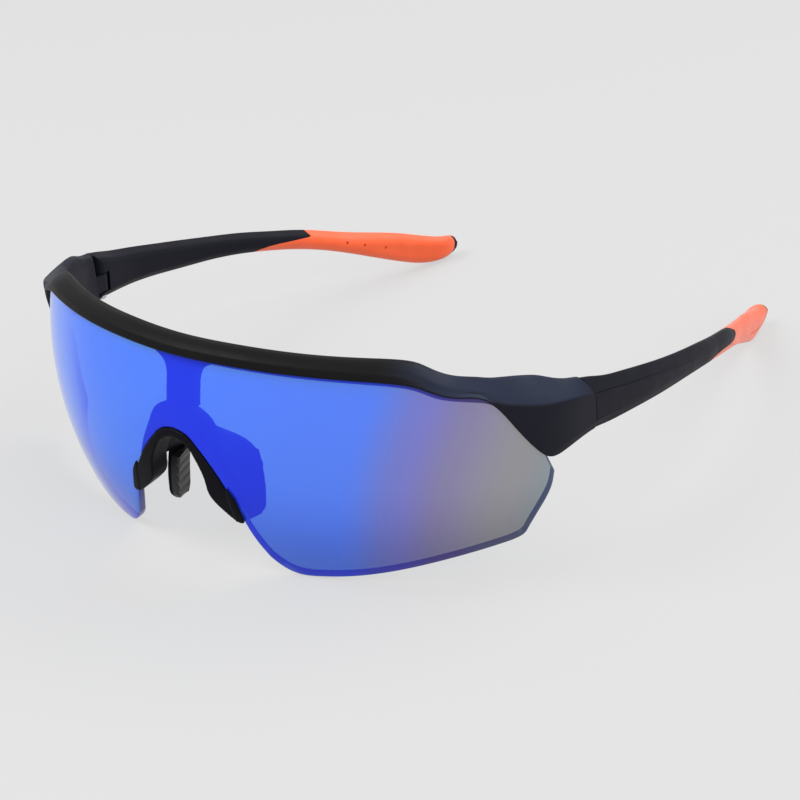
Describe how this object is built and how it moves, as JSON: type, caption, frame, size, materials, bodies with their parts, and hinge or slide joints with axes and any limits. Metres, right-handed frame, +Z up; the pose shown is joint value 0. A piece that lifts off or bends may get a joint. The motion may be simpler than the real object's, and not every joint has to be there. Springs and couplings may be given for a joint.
{
  "type": "wraparound sport sunglasses",
  "caption": "Wraparound shield sunglasses with a rimless curved lens, brow bar, clip-in nose bridge and folding temples with soft sleeves.",
  "frame": {"origin": "centre of the bounding box on the ground plane that the lens edge and the temple tips rest on", "axes": "+X towards the wearer's left, the plane X=0 is the symmetry plane; +Y from the lens back towards the ears; +Z up as the glasses lie open on a table"},
  "size_m": [0.1438, 0.1874, 0.0541],
  "materials": {
    "lens_mirror": "blue mirror coat over tinted polycarbonate",
    "frame_black": "matte, fine grain",
    "bridge_black": "matte",
    "pad_rubber": "soft matte, ribbed",
    "arm_navy": "satin navy",
    "sleeve_orange": "soft matte",
    "screw_steel": "satin"
  },
  "bodies": {
    "front": {"front_frame": "frame_black", "shield_lens": "lens_mirror", "nose_bridge": "bridge_black", "nose_pad_left": "pad_rubber", "nose_pad_right": "pad_rubber"},
    "left_temple": {"temple_arm_left": "arm_navy", "temple_sleeve_left": "sleeve_orange", "hinge_screw_left": "screw_steel"},
    "right_temple": {"temple_arm_right": "arm_navy", "temple_sleeve_right": "sleeve_orange", "hinge_screw_right": "screw_steel"}
  },
  "joints": [
    {"name": "left_temple_fold", "type": "hinge", "parent": "front", "child": "left_temple", "pos_m": [0.0673, -0.03963, 0.0339], "axis": [0, 0, 1], "range_deg": [0, 84]},
    {"name": "right_temple_fold", "type": "hinge", "parent": "front", "child": "right_temple", "pos_m": [-0.0673, -0.03963, 0.0339], "axis": [0, 0, -1], "range_deg": [0, 75]}
  ]
}
